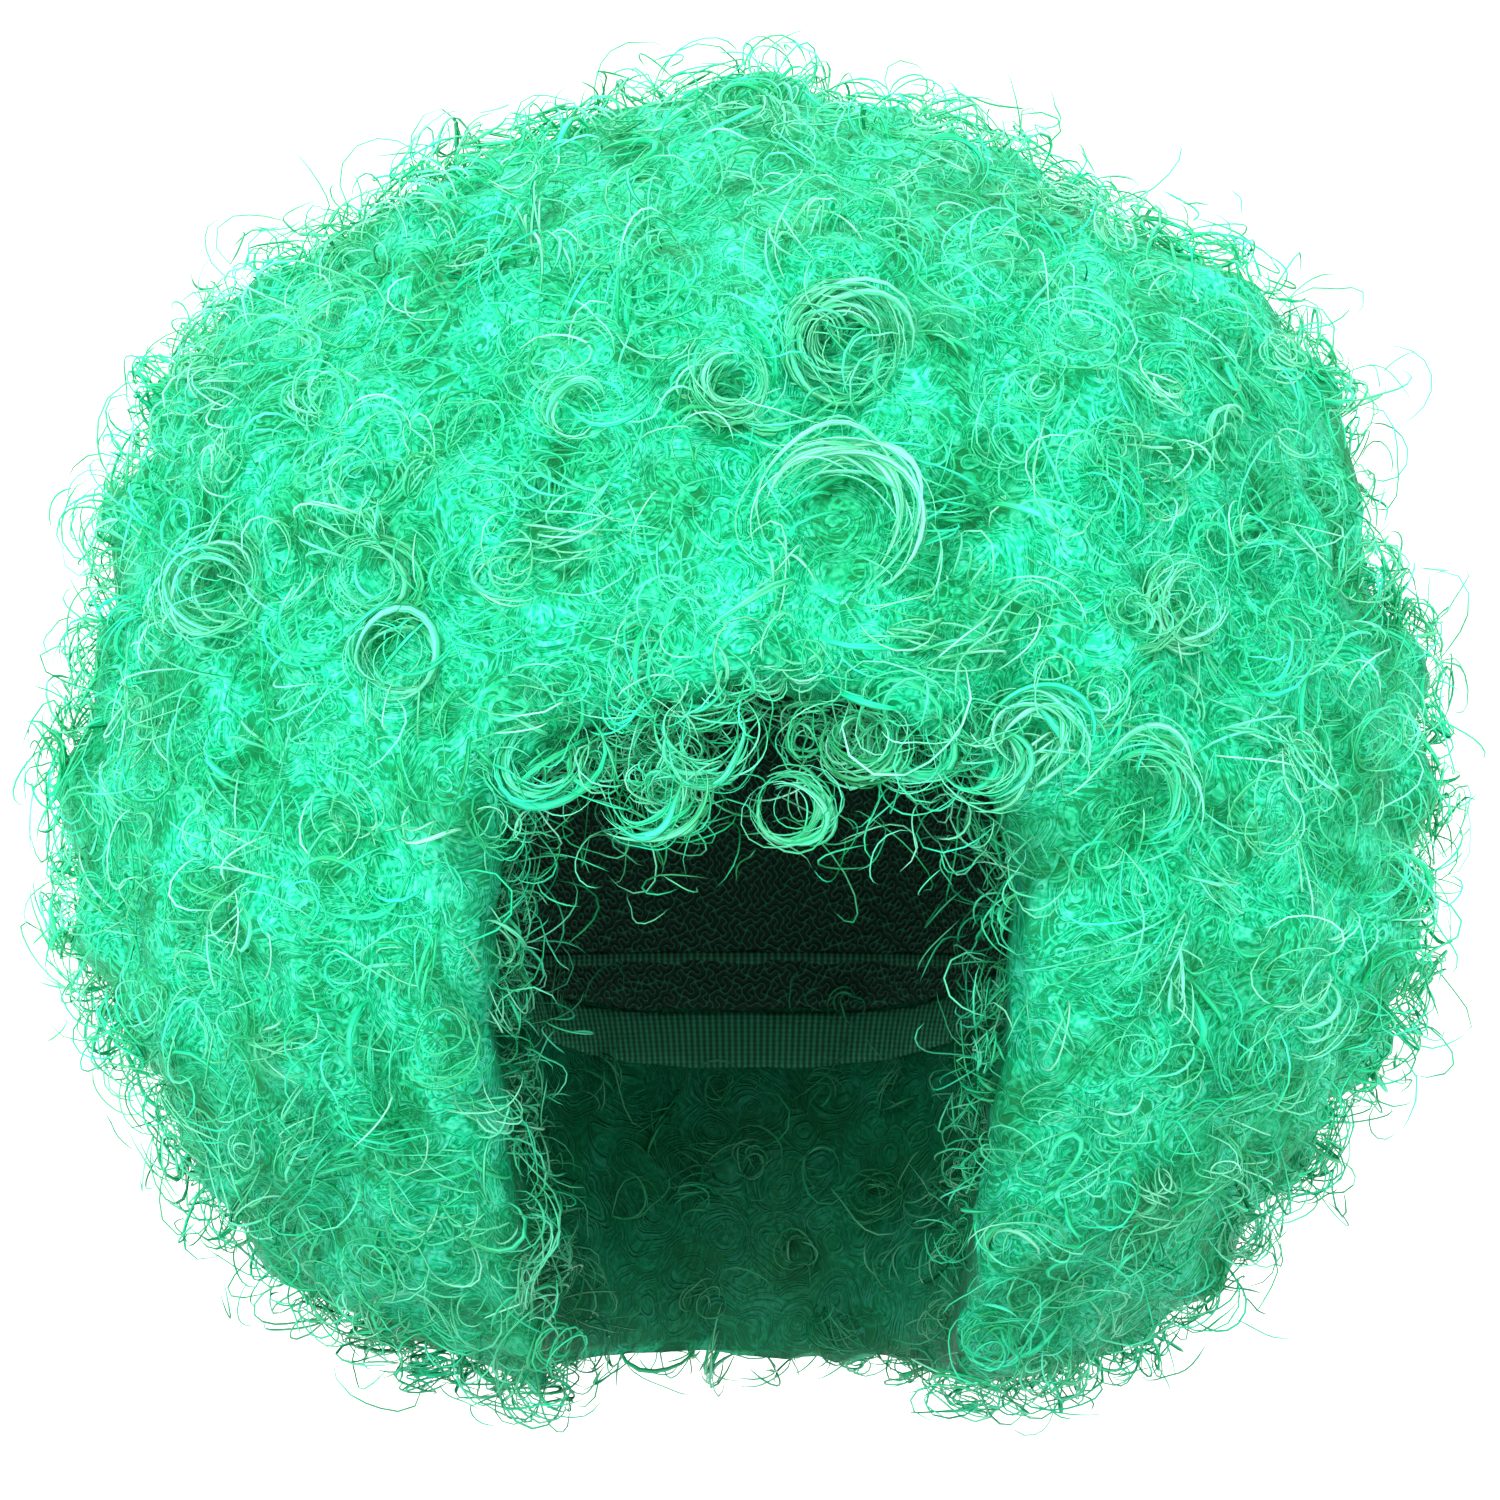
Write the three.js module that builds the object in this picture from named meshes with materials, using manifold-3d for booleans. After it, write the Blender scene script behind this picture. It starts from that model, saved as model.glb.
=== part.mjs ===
// A round afro wig, worn: a stretch net cap with its elastic edge, rows of curled hair sewn
// to it from the crown to the neck, and a fringe of small curls over the forehead.
// Millimetres, +Z up. The wig faces -Y, and +X is on the right of someone who looks at it.
// The origin is the crown of the hollow that takes a head.

import * as THREE from "three";
import { mergeVertices } from "three/addons/utils/BufferGeometryUtils.js";
import Module from "manifold-3d";

const wasm = await Module();
wasm.setup();

// The hollow that takes a head and neck
const HEAD_BREADTH = 156;
const HEAD_LENGTH = 194;
const CROWN_TO_WIDEST = 100;
const NECK_BREADTH = 96;
const NECK_FRONT = 44;
const NECK_BACK = 66;
const NECK_DRAWN = { from: 0.05, to: 0.9 };

// The cap and its elastic edge
const CAP_WALL = 2;
const BAND_WIDTH = 14;
const SEAM_GAP = 0.4;
const RIM_FOREHEAD = 54;
const RIM_TEMPLE = 80;
const RIM_EAR = 122;
const RIM_NAPE = 158;

// The hair's outside, to the tips of its locks
const HAIR_WIDTH = 330;
const HAIR_FRONT = 146;
const HAIR_BACK = 170;
const HAIR_RISE = 80;
const HAIR_DROP = 232;

// Locks and rows
const LOCK_RISE = 15;
const LOCK_VARIETY = 0.4;
const ROW_LOCKS = 20;
const CROWN_LOCKS = 5;
const ROW_GAP = 0.5;
const POLE = 0.012;

// The opening for the face, and the fringe over it
const FACE_WIDTH = 120;
const FACE_TOP = 80;
const CHIN_WIDTH = 92;
const SCALLOP = 3.5;
const DENTS = 18;
const FRINGE_DEEP = 16;
const FRINGE_RING = 10;
const FRINGE_STRAND = 4;
const RING_TURNS = 0.88;
const RING_PITCH = 0.7;
const RING_STEPS = 9;

const CAP_STEPS = 24;
const HAIR_STEPS = 3 * ROW_LOCKS;
const BEYOND = 2 * HAIR_DROP;
const HAIR_HEIGHT = HAIR_RISE + HAIR_DROP;

// The outline from the top down. down is a share of the height, side of half the width,
// and front and back of the reach that way.
const OUTLINE = [
  { down: 0.0, side: 0.0, front: 0.0, back: 0.0 },
  { down: 0.012, side: 0.2, front: 0.2, back: 0.2 },
  { down: 0.058, side: 0.42, front: 0.42, back: 0.42 },
  { down: 0.144, side: 0.71, front: 0.7, back: 0.71 },
  { down: 0.25, side: 0.87, front: 0.88, back: 0.87 },
  { down: 0.4, side: 0.955, front: 0.98, back: 0.97 },
  { down: 0.545, side: 1.0, front: 0.98, back: 1.0 },
  { down: 0.675, side: 0.985, front: 0.92, back: 0.97 },
  { down: 0.765, side: 0.9, front: 0.83, back: 0.89 },
  { down: 0.855, side: 0.8, front: 0.72, back: 0.79 },
  { down: 0.935, side: 0.66, front: 0.6, back: 0.66 },
  { down: 1.0, side: 0.46, front: 0.46, back: 0.5 },
];

// Rows of hair from the crown to the neck. hangs is the share of the outline's length where
// a row ends. sewn says where it ends at the head: 1 is the widest level and 2 the neck.
const ROWS = [
  { name: "hair_crown", hangs: 0.11, sewn: 0.22 },
  { name: "hair_row_1", hangs: 0.26, sewn: 0.45 },
  { name: "hair_row_2", hangs: 0.41, sewn: 0.66 },
  { name: "hair_row_3", hangs: 0.56, sewn: 0.9 },
  { name: "hair_row_4", hangs: 0.71, sewn: 1.2 },
  { name: "hair_row_5", hangs: 0.86, sewn: 1.56 },
  { name: "hair_row_6", hangs: 1.0, sewn: 2.0 },
];

// Two staggered lines of locks on a row, each lock three columns of hair wide. down is a
// share of the row's height, and the rest how far each column stands out there, as shares
// of a lock's rise.
const LOCK_LINES = [
  { down: 0, first: 0.35, second: 0.35, third: 0.35 },
  { down: 0.24, first: 0.12, second: 1.0, third: 0.95 },
  { down: 0.5, first: 0.45, second: 0.5, third: 0.45 },
  { down: 0.76, first: 0.95, second: 0.12, third: 1.0 },
  { down: 1, first: 0.35, second: 0.35, third: 0.35 },
];

// The rim of the cap in side view. along is a share of the head's length from its middle.
const RIM = [
  { along: -0.6, down: RIM_FOREHEAD },
  { along: -0.44, down: RIM_FOREHEAD },
  { along: -0.3, down: RIM_TEMPLE },
  { along: -0.13, down: RIM_EAR },
  { along: 0.02, down: RIM_EAR },
  { along: 0.2, down: (RIM_EAR + RIM_NAPE) / 2 },
  { along: 0.4, down: RIM_NAPE },
  { along: 0.6, down: RIM_NAPE },
];

// Half the edge of the face opening, from the chin to the middle of the forehead. wide is a
// share of half the face's width, or of half the chin's, and down of the hair's drop.
const FACE_EDGE = [
  { wide: 1.0, of: CHIN_WIDTH, down: 1.25 },
  { wide: 1.0, of: CHIN_WIDTH, down: 1.0 },
  { wide: 0.9, of: FACE_WIDTH, down: 0.76 },
  { wide: 1.0, of: FACE_WIDTH, down: 0.54 },
];
const FACE_ARCH = { wide: 0.86, below: 0.28 };

// The fringe's backing is cut from the hair between the lower edges of these two rows
const FRINGE_ROWS = { top: 1, bottom: 4 };

// Rings of the fringe. across is a share of half the face opening, drop of a ring's radius
// below the edge of the hair, and size of the common radius.
const FRINGE_CURLS = [
  { across: -0.76, drop: 0.3, size: 0.85 },
  { across: -0.46, drop: 0.6, size: 1.05 },
  { across: -0.16, drop: 0.35, size: 0.85 },
  { across: 0.13, drop: 0.65, size: 1.1 },
  { across: 0.44, drop: 0.3, size: 0.85 },
  { across: 0.76, drop: 0.4, size: 0.9 },
];

const GREEN_FIBRE = 0x2fe6a0;
const DEEP_GREEN_FIBRE = 0x1fc983;
const NET_GREEN = 0x0d4f38;
const ELASTIC_GREEN = 0x12684a;

// From three.js geometry to a solid and back

function solidOf(geometry) {
  const bare = geometry.index ? geometry.toNonIndexed() : geometry.clone();
  for (const name of Object.keys(bare.attributes)) {
    if (name !== "position") bare.deleteAttribute(name);
  }
  const merged = mergeVertices(bare, 1e-3);
  const at = merged.attributes.position;
  const corners = merged.index.array;
  const [a, b, c] = [new THREE.Vector3(), new THREE.Vector3(), new THREE.Vector3()];
  const faces = [];
  let volume = 0;
  for (let i = 0; i < corners.length; i += 3) {
    const face = [corners[i], corners[i + 1], corners[i + 2]];
    if (new Set(face).size < 3) continue;
    [a, b, c].forEach((corner, k) => corner.fromBufferAttribute(at, face[k]));
    volume += a.dot(b.cross(c));
    faces.push(face);
  }
  if (volume < 0) faces.forEach((face) => face.reverse());
  const mesh = new wasm.Mesh({
    numProp: 3,
    vertProperties: new Float32Array(at.array),
    triVerts: new Uint32Array(faces.flat()),
  });
  return new wasm.Manifold(mesh);
}

function geometryOf(solid) {
  const mesh = solid.getMesh();
  const geometry = new THREE.BufferGeometry();
  geometry.setAttribute("position", new THREE.BufferAttribute(new Float32Array(mesh.vertProperties), 3));
  geometry.setIndex(new THREE.BufferAttribute(new Uint32Array(mesh.triVerts), 1));
  geometry.computeVertexNormals();
  return geometry;
}

function largestBody(solid) {
  return solid.decompose().reduce((best, body) => (body.volume() > best.volume() ? body : best));
}

// A closed solid through loops of points. Each loop is joined to the next along the shorter
// diagonals, so that two rows that share an edge divide it alike. Loops that do not run
// round to the first are closed by a fan at each end.
function solidThrough(loops, { endless }) {
  const size = loops[0].length;
  const points = loops.flat();
  const corners = [];
  const last = endless ? loops.length : loops.length - 1;
  for (let j = 0; j < last; j++) {
    const here = j * size;
    const next = ((j + 1) % loops.length) * size;
    for (let i = 0; i < size; i++) {
      const k = (i + 1) % size;
      const [p, q, r, s] = [here + i, here + k, next + k, next + i];
      const alongFirst = points[p].distanceTo(points[r]) < points[q].distanceTo(points[s]);
      corners.push(...(alongFirst ? [p, q, r, p, r, s] : [p, q, s, q, r, s]));
    }
  }
  if (!endless) {
    const end = (loops.length - 1) * size;
    for (let i = 1; i < size - 1; i++) {
      corners.push(0, i + 1, i, end, end + i, end + i + 1);
    }
  }
  const geometry = new THREE.BufferGeometry().setFromPoints(points);
  geometry.setIndex(corners);
  return solidOf(geometry);
}

function roundLoop(steps, pointAt) {
  return Array.from({ length: steps }, (_, j) => pointAt((j / steps) * 2 * Math.PI, j));
}

function pushedThrough(shape, depth) {
  return new THREE.ExtrudeGeometry(shape, { depth, bevelEnabled: false, steps: 1 });
}

// A number between 0 and 1 that looks random and is the same each time
function scatter(seed) {
  const [step, spread] = [12.9898, 43758.5453];
  const wave = Math.sin(seed * step) * spread;
  return wave - Math.floor(wave);
}

// The head's form and the hair's outline, which everything follows

function aroundAxis(azimuth, side, front, back, z) {
  const reach = Math.sin(azimuth) < 0 ? front : back;
  return new THREE.Vector3(side * Math.cos(azimuth), reach * Math.sin(azimuth), z);
}

// A point of the head's form, pushed out by offset. share runs from 0 at the crown over 1 at
// the widest level to 2 at the neck.
function headPoint(share, azimuth, offset) {
  if (share <= 1) {
    const tilt = (share * Math.PI) / 2;
    const length = (HEAD_LENGTH / 2 + offset) * Math.sin(tilt);
    const z = (CROWN_TO_WIDEST + offset) * Math.cos(tilt) - CROWN_TO_WIDEST;
    return aroundAxis(azimuth, (HEAD_BREADTH / 2 + offset) * Math.sin(tilt), length, length, z);
  }
  const fall = share - 1;
  const draw = THREE.MathUtils.smoothstep(fall, NECK_DRAWN.from, NECK_DRAWN.to);
  return aroundAxis(
    azimuth,
    THREE.MathUtils.lerp(HEAD_BREADTH, NECK_BREADTH, draw) / 2 + offset,
    THREE.MathUtils.lerp(HEAD_LENGTH / 2, NECK_FRONT, draw) + offset,
    THREE.MathUtils.lerp(HEAD_LENGTH / 2, NECK_BACK, draw) + offset,
    -CROWN_TO_WIDEST - fall * (HAIR_DROP - CROWN_TO_WIDEST),
  );
}

function headForm(offset, shares) {
  return solidThrough(
    shares.map((share) => roundLoop(CAP_STEPS, (azimuth) => headPoint(share, azimuth, offset))),
    { endless: false },
  );
}

function outlineCurve(column, reach) {
  return new THREE.SplineCurve(
    OUTLINE.map((row) => new THREE.Vector2(row[column] * reach, HAIR_RISE - row.down * HAIR_HEIGHT)),
  );
}
const sideCurve = outlineCurve("side", HAIR_WIDTH / 2);
const frontCurve = outlineCurve("front", HAIR_FRONT);
const backCurve = outlineCurve("back", HAIR_BACK);

function outlinePoint(share, azimuth) {
  const t = sideCurve.getUtoTmapping(share);
  const side = sideCurve.getPoint(t);
  return aroundAxis(azimuth, side.x, frontCurve.getPoint(t).x, backCurve.getPoint(t).x, side.y);
}

function outlineNormal(share, azimuth) {
  const step = 0.01;
  const middle = THREE.MathUtils.clamp(share, step, 1 - step);
  const down = outlinePoint(middle + step, azimuth).sub(outlinePoint(middle - step, azimuth));
  const round = outlinePoint(middle, azimuth + step).sub(outlinePoint(middle, azimuth - step));
  return down.cross(round).normalize();
}

// The outline moved out by offset, or in where that is negative
function hairPoint(share, azimuth, offset) {
  return outlinePoint(share, azimuth).addScaledVector(outlineNormal(share, azimuth), offset);
}

// How far forward the outline reaches at a place over the forehead
function frontAt(x, level) {
  let [low, high] = [0, 1];
  for (let i = 0; i < HAIR_STEPS; i++) {
    const t = (low + high) / 2;
    if (sideCurve.getPoint(t).y > level) low = t;
    else high = t;
  }
  const round = Math.sqrt(1 - (x / sideCurve.getPoint(low).x) ** 2);
  return frontCurve.getPoint(low).x * round;
}

// The cap

function sewnAbove(index) {
  return index ? ROWS[index - 1].sewn : 0;
}

function middleSewn(index) {
  return (sewnAbove(index) + ROWS[index].sewn) / 2;
}

const CAP_SHARES = ROWS.flatMap((row, i) => [middleSewn(i), row.sewn]);

// Everything below the cap's rim, with the rim lifted
function belowRim(lift) {
  const rim = new THREE.SplineCurve(
    RIM.map(({ along, down }) => new THREE.Vector2(along * HEAD_LENGTH, lift - down)),
  );
  const shape = new THREE.Shape(rim.getPoints(CAP_STEPS));
  shape.lineTo(RIM.at(-1).along * HEAD_LENGTH, -BEYOND);
  shape.lineTo(RIM[0].along * HEAD_LENGTH, -BEYOND);
  shape.closePath();
  const prism = pushedThrough(shape, 2 * HEAD_BREADTH);
  prism.rotateX(Math.PI / 2);
  prism.rotateZ(Math.PI / 2);
  prism.translate(-HEAD_BREADTH, 0, 0);
  return solidOf(prism);
}

function capWall() {
  const pastNeck = 1.2 * ROWS.at(-1).sewn;
  const outside = headForm(CAP_WALL, [0, ...CAP_SHARES]);
  return outside.subtract(headForm(0, [0, ...CAP_SHARES, pastNeck]));
}

function netCap() {
  return largestBody(capWall().subtract(belowRim(BAND_WIDTH + SEAM_GAP)));
}

function edgeBand() {
  return largestBody(capWall().intersect(belowRim(BAND_WIDTH)).subtract(belowRim(0)));
}

// Rows of hair

// How far a lock stands out of the packed hair
function lockRise(line, column, index) {
  const height = [line.first, line.second, line.third][column % 3];
  const lock = Math.floor(column / 3);
  const isEdge = line.down === 0 || line.down === 1;
  const variety = isEdge ? 0 : LOCK_VARIETY * scatter(index * ROW_LOCKS + lock + line.down);
  return height * (1 - variety) * LOCK_RISE;
}

// Places along a row's edge: how far out and how far in it reaches
const gapOut = ROW_GAP / 2 / sideCurve.getLength();
const gapIn = ROW_GAP / 2 / CROWN_TO_WIDEST;

function sewnPoint(share, azimuth) {
  return headPoint(share, azimuth, CAP_WALL + SEAM_GAP);
}

// A ring of hair between the lower edges of two rows, sewn round the cap
function hairRing(topRow, bottomRow, riseAt) {
  const [top, bottom] = [ROWS[topRow], ROWS[bottomRow]];
  const shares = CAP_SHARES.filter((share) => share > top.sewn && share < bottom.sewn).reverse();
  const loops = roundLoop(HAIR_STEPS, (azimuth, column) => {
    const outside = LOCK_LINES.map((line) => {
      const share = THREE.MathUtils.lerp(top.hangs + gapOut, bottom.hangs - gapOut, line.down);
      return hairPoint(share, azimuth, riseAt(line, column) - LOCK_RISE);
    });
    const inside = [bottom.sewn - gapIn, ...shares, top.sewn + gapIn];
    return [...outside, ...inside.map((share) => sewnPoint(share, azimuth))];
  });
  return solidThrough(loops, { endless: true });
}

// The tuft at the crown, closed on the axis
function crownTuft() {
  const edge = ROWS[0];
  const spread = ROW_LOCKS / CROWN_LOCKS;
  const outside = LOCK_LINES.map((line) =>
    roundLoop(HAIR_STEPS, (azimuth, column) => {
      const share = THREE.MathUtils.lerp(POLE, edge.hangs - gapOut, line.down);
      const rise = line.down ? lockRise(line, Math.floor(column / spread), 0) : LOCK_RISE;
      return hairPoint(share, azimuth, rise - LOCK_RISE);
    }),
  );
  const inside = [edge.sewn - gapIn, middleSewn(0), POLE].map((share) =>
    roundLoop(HAIR_STEPS, (azimuth) => sewnPoint(share, azimuth)),
  );
  return solidThrough([...outside, ...inside], { endless: false });
}

// The opening for the face

// The edge of the opening, dented as curls dent it, and pushed through the hair's front.
// raise lifts the edge over the forehead, and grow widens all of it.
function faceOpening(raise, grow) {
  const top = raise - FACE_TOP;
  const half = FACE_WIDTH / 2;
  const left = FACE_EDGE.map(
    ({ wide, of, down }) => new THREE.Vector3((-wide * of) / 2, -down * HAIR_DROP, 0),
  );
  left.push(new THREE.Vector3(-half * FACE_ARCH.wide, top - half * FACE_ARCH.below, 0));
  const right = left.map((point) => new THREE.Vector3(-point.x, point.y, 0)).reverse();
  const edge = new THREE.CatmullRomCurve3([...left, new THREE.Vector3(0, top, 0), ...right]);
  const count = 3 * DENTS;
  const middle = new THREE.Vector3(0, -HAIR_DROP * 0.6, 0);
  const points = Array.from({ length: count + 1 }, (_, i) => {
    const point = edge.getPointAt(i / count);
    const inward = middle.clone().sub(point).normalize();
    const dent = SCALLOP * Math.abs(Math.sin((i / 3) * Math.PI));
    return point.addScaledVector(inward, dent - grow);
  });
  const shape = new THREE.Shape(points.map((point) => new THREE.Vector2(point.x, point.y)));
  const prism = pushedThrough(shape, BEYOND);
  prism.rotateX(Math.PI / 2);
  return solidOf(prism);
}

const fringeRoom = faceOpening(FRINGE_DEEP, ROW_GAP);

function hairRow(index) {
  if (index === 0) return crownTuft();
  const ring = hairRing(index - 1, index, (line, column) => lockRise(line, column, index));
  return largestBody(ring.subtract(fringeRoom));
}

// The fringe

// One open ring of hair that hangs in front of the forehead
function fringeRing({ across, drop, size }) {
  const radius = FRINGE_RING * size;
  const ring = new THREE.CatmullRomCurve3(
    Array.from({ length: RING_STEPS }, (_, i) => {
      const share = i / (RING_STEPS - 1);
      const angle = share * RING_TURNS * 2 * Math.PI;
      const forward = (0.5 - share) * radius * RING_PITCH;
      return new THREE.Vector3(radius * Math.sin(angle), forward, radius * Math.cos(angle));
    }),
  );
  const wire = new THREE.Shape().absarc(0, 0, FRINGE_STRAND * size, 0, 2 * Math.PI);
  const path = { steps: RING_STEPS, curveSegments: 3, extrudePath: ring };
  const hoop = new THREE.ExtrudeGeometry(wire, path);
  const x = (across * FACE_WIDTH) / 2;
  const arch = (FACE_WIDTH / 2) * FACE_ARCH.below * across * across;
  const level = -FACE_TOP - arch - drop * radius;
  hoop.translate(x, LOCK_RISE - frontAt(x, level), level);
  return solidOf(hoop);
}

function fringeCurls() {
  const deep = 4 * FRINGE_DEEP;
  const band = new THREE.BoxGeometry(FACE_WIDTH * FACE_ARCH.wide, BEYOND, deep);
  band.translate(0, -BEYOND / 2, -FACE_TOP);
  const room = faceOpening(FRINGE_DEEP, 0);
  const strip = room.subtract(faceOpening(0, 0)).intersect(solidOf(band));
  const hair = hairRing(FRINGE_ROWS.top, FRINGE_ROWS.bottom, () => 0);
  const backing = largestBody(hair.intersect(strip));
  const fringe = FRINGE_CURLS.map(fringeRing).reduce((all, one) => all.add(one), backing);
  return largestBody(fringe.intersect(room));
}

// Assembly

function piece(name, solid, colour, roughness) {
  const material = new THREE.MeshStandardMaterial({ color: colour, roughness, metalness: 0 });
  const mesh = new THREE.Mesh(geometryOf(solid), material);
  mesh.name = name;
  return mesh;
}

const wig = new THREE.Group();
wig.add(piece("net_cap", netCap(), NET_GREEN, 0.9));
wig.add(piece("edge_band", edgeBand(), ELASTIC_GREEN, 0.8));
ROWS.forEach((row, index) => {
  wig.add(piece(row.name, hairRow(index), index % 2 ? DEEP_GREEN_FIBRE : GREEN_FIBRE, 0.45));
});
wig.add(piece("fringe_curls", fringeCurls(), GREEN_FIBRE, 0.45));

export default wig;
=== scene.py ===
import math

import bpy
import numpy as np
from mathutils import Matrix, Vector
from mathutils.bvhtree import BVHTree


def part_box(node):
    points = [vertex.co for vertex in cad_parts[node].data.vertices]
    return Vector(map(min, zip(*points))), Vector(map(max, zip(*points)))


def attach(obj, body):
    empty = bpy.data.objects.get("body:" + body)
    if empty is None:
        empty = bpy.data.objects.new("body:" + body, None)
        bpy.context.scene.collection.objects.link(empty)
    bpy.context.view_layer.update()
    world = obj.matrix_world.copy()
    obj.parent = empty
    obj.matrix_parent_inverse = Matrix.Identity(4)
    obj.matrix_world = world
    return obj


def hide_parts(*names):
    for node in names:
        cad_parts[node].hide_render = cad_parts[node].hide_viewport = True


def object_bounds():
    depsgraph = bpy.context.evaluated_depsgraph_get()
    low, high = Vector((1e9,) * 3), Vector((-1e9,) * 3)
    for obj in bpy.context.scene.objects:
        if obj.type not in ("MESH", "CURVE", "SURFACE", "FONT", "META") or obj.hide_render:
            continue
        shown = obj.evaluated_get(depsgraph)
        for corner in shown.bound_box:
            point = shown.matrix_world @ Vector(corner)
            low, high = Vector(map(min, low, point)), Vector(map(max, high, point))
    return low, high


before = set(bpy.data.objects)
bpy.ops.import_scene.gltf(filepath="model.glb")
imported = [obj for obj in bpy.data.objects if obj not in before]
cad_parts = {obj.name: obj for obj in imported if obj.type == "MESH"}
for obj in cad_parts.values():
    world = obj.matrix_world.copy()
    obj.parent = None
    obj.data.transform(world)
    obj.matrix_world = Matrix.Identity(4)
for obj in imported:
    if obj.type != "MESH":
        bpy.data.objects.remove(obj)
cad_low, cad_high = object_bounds()

MM = 0.001

# The nodes of hair, from the crown down
HAIR_ROWS = [
    "hair_crown",
    "hair_row_1",
    "hair_row_2",
    "hair_row_3",
    "hair_row_4",
    "hair_row_5",
    "hair_row_6",
]

# Camera: level, in front, with the framing of the photo
CAMERA_BACK = 1.7
CAMERA_LEVEL = -0.080
FRAMED_WIDTH = 0.354
SENSOR = 36

FLOOR_LEVEL = -0.31

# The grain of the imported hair's mesh, its soft clumps, and the slow swell of the whole outline
PACKED_GRAIN = 6.0 * MM
CLUMP_WIDE = 0.030
CLUMP_DEEP = 0.008
DRIFT_WIDE = 0.050
DRIFT_DEEP = 0.012

# How far strands may stand beyond the CAD box
STAND_PROUD = 9 * MM

# Hair's fibres as drawn, to a metre: 0.45 mm apart, coarser than the real 0.07 mm so that they show
FIBRES_TO_METRE = 2200
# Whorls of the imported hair's frizz: how many to a metre, and how strongly each size shows
WHORLS = [(42.0, 0.75), (70.0, 1.0), (118.0, 0.85)]
# Refractive index of polyester
POLYESTER_IOR = 1.57

# Trial places for each lock that is kept, and the least room in front of a lock that shows
CROWDING = 12
SHUT_IN = 14 * MM

# How far from the upright axis the walls round the head and neck reach
LINING_REACH = 0.118
# The part of those walls that frames the face lies in front of this
FACE_EDGE = -0.07
# Half the width of the face opening at its top and at the wig's lower edge
FACE_HALF = (0.060, 0.046)

# The net's loops, the ribs in a tape's full round, and the threads that cross them
NET_LOOP = 3.2 * MM
RIBS_ROUND = 340
WEFT_SPACING = 1.1 * MM

# The hollow that takes a head: half its width and length, and its crown's height
HEAD_HALF = (0.078, 0.097, 0.100)
# From the widest place down to the wig's lower edge it draws in to the neck: how far down that
# is, the shares of it where the drawing in starts and ends, and half the neck's width and its
# front and back length
NECK_FALL = 0.132
NECK_DRAWN = (0.05, 0.9)
NECK_HALF = (0.048, 0.044, 0.066)
# The cap's lower edge: depth below the crown by place from front to back, in millimetres
RIM_PLACES = [-85, -58, -25, 4, 39, 78]
RIM_DEPTHS = [54, 80, 122, 122, 140, 158]
# Depths of the sewn tracks that carry the rows, and the edge they keep clear of
TRACK_DEPTHS = [14, 30, 47, 64, 81, 98, 115, 132]
TRACK_CLEAR = 17
# A track's tape, and how far its middle lies inside the cap's wall
TRACK_WIDTH = np.array([4.5 * MM])
TRACK_THICK = np.array([1.0 * MM])
TRACK_INSET = 0.6 * MM

# Cross-sections as shares of half the width and of the height, in order round the strand
RIBBON = [(-1.0, 0.0), (0.0, 1.0), (1.0, 0.0)]
ROPE = [(-1.0, 0.0), (-0.5, 0.85), (0.5, 0.85), (1.0, 0.0), (0.0, -0.7)]

# Kinds of strand in a lock, with lengths in millimetres and pairs as the least and the most.
# neat: the least neatness of the locks that have them. each and share: how many a lock has, and
# the share of those that are kept. radius: as a share of the lock's. taper: the share of the
# length that each end takes to narrow. lift: height above the root. rise: how far it moves along
# its axis. draw: how much the radius shrinks. loose, stray and slide: how far its axis, its
# centre and its place along the axis depart from the lock's. pale: how pale it is, on average.
LOCK_PARTS = [
    {"section": ROPE, "neat": 0, "each": 2, "share": 0.2, "rings": 12, "turns": (0.4, 0.95),
     "radius": (0.5, 0.95), "width": (1.0, 1.9), "height": (0.6, 1.0), "taper": 0.5,
     "lift": (0.5, 4.0), "rise": (-3, 5), "draw": (0.0, 0.3), "loose": 0.14, "stray": 0.12,
     "slide": 3.0, "pale": 0.08},
    {"section": RIBBON, "neat": 0, "each": 3, "share": 0.6, "rings": 12, "turns": (0.35, 0.85),
     "radius": (0.5, 1.1), "width": (0.7, 1.3), "height": (0.35, 0.5), "taper": 0.5,
     "lift": (1.5, 6.0), "rise": (-4, 6), "draw": (-0.1, 0.35), "loose": 0.16, "stray": 0.12,
     "slide": 4.0, "pale": 0.2},
    {"section": RIBBON, "neat": 0, "each": 5, "share": 0.86, "rings": 11, "turns": (0.3, 0.75),
     "radius": (0.4, 1.2), "width": (0.33, 0.54), "height": (0.3, 0.44), "taper": 0.2,
     "lift": (1.5, 7.5), "rise": (-4, 6), "draw": (-0.15, 0.4), "loose": 0.24, "stray": 0.18,
     "slide": 4.0, "pale": 0.45},
    {"section": RIBBON, "neat": 0.8, "each": 6, "share": 1, "rings": 14, "turns": (0.5, 1.1),
     "radius": (0.3, 1.0), "width": (0.38, 0.75), "height": (0.33, 0.5), "taper": 0.2,
     "lift": (2.5, 6.0), "rise": (-3, 4), "draw": (-0.1, 0.4), "loose": 0.2, "stray": 0.18,
     "slide": 3.0, "pale": 0.4},
]
# Single fine strands with no order, each times as many as there are locks
FRIZZ = {
    "each": 1.2, "rings": 9, "turns": (0.25, 0.65), "radius": (4, 11), "lift": (0, 9),
    "width": (0.35, 0.5),
}
FACE_FRIZZ = {**FRIZZ, "each": 3.6, "rings": 11, "lift": (0, 7)}
FRINGE_FRIZZ = {
    "each": 8, "rings": 11, "turns": (0.25, 0.65), "radius": (4, 12), "lift": (-8, 3),
    "width": (0.3, 0.45),
}

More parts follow.
